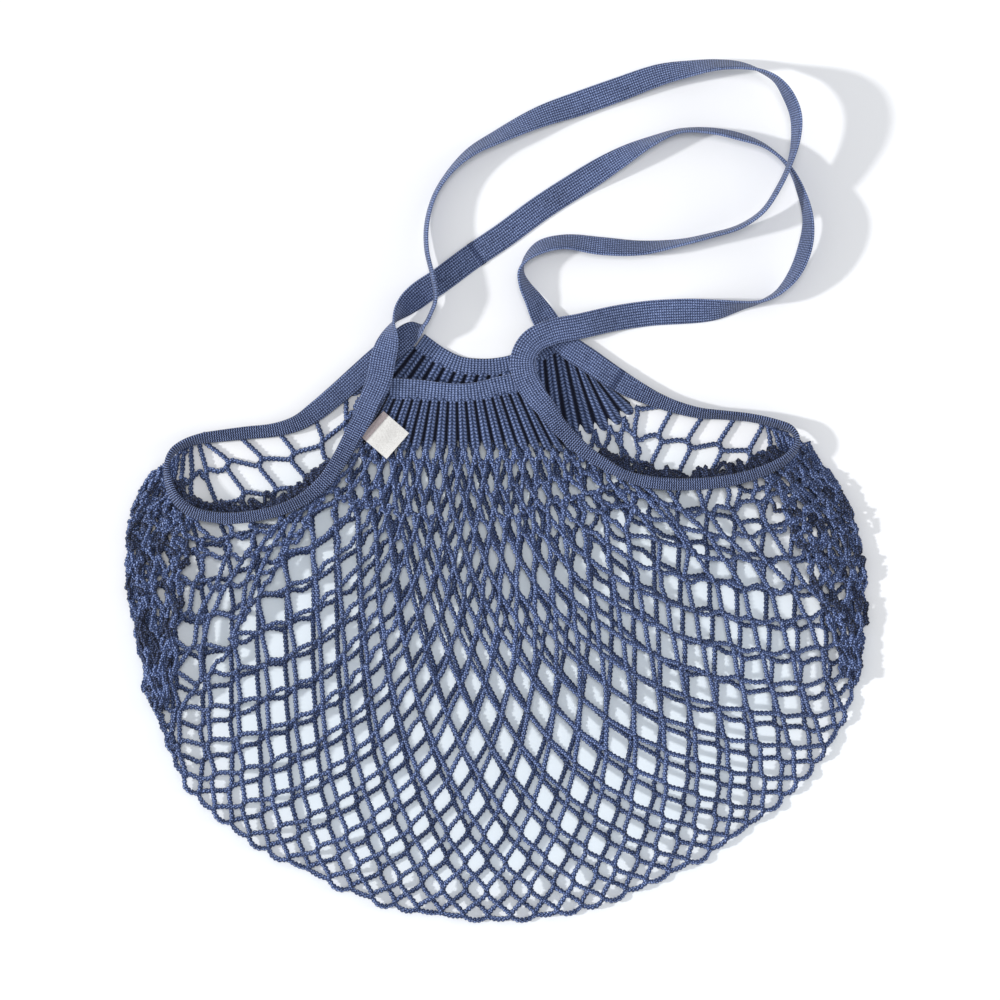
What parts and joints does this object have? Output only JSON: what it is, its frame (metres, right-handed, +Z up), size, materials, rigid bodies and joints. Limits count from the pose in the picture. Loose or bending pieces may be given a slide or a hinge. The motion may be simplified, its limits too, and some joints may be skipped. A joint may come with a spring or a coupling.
{
  "type": "string shopping bag",
  "caption": "String shopping bag lying flat: knotted cotton net body with ribbed knit panels, bands at the mouth, and one knitted tape as armhole bindings and two long handles.",
  "frame": {"origin": "on the floor under the middle of the bag's bounding box", "axes": "+Z up off the surface it lies on, +Y from the net's fold towards the handles, +X to the right in the view from above"},
  "size_m": [0.4084, 0.4772, 0.032],
  "materials": {
    "netting": "matt twisted cotton cord, dyed blue",
    "tape": "matt fine-knit cotton tape, dyed blue",
    "label_cloth": "smooth woven cotton, off-white"
  },
  "bodies": {
    "root": {"net_front": "netting", "net_back": "netting", "front_gather": "netting", "back_gather": "netting", "front_band": "tape", "back_band": "tape", "left_armhole_binding": "tape", "front_handle": "tape", "right_armhole_binding": "tape", "back_handle": "tape", "label": "label_cloth"}
  },
  "joints": []
}
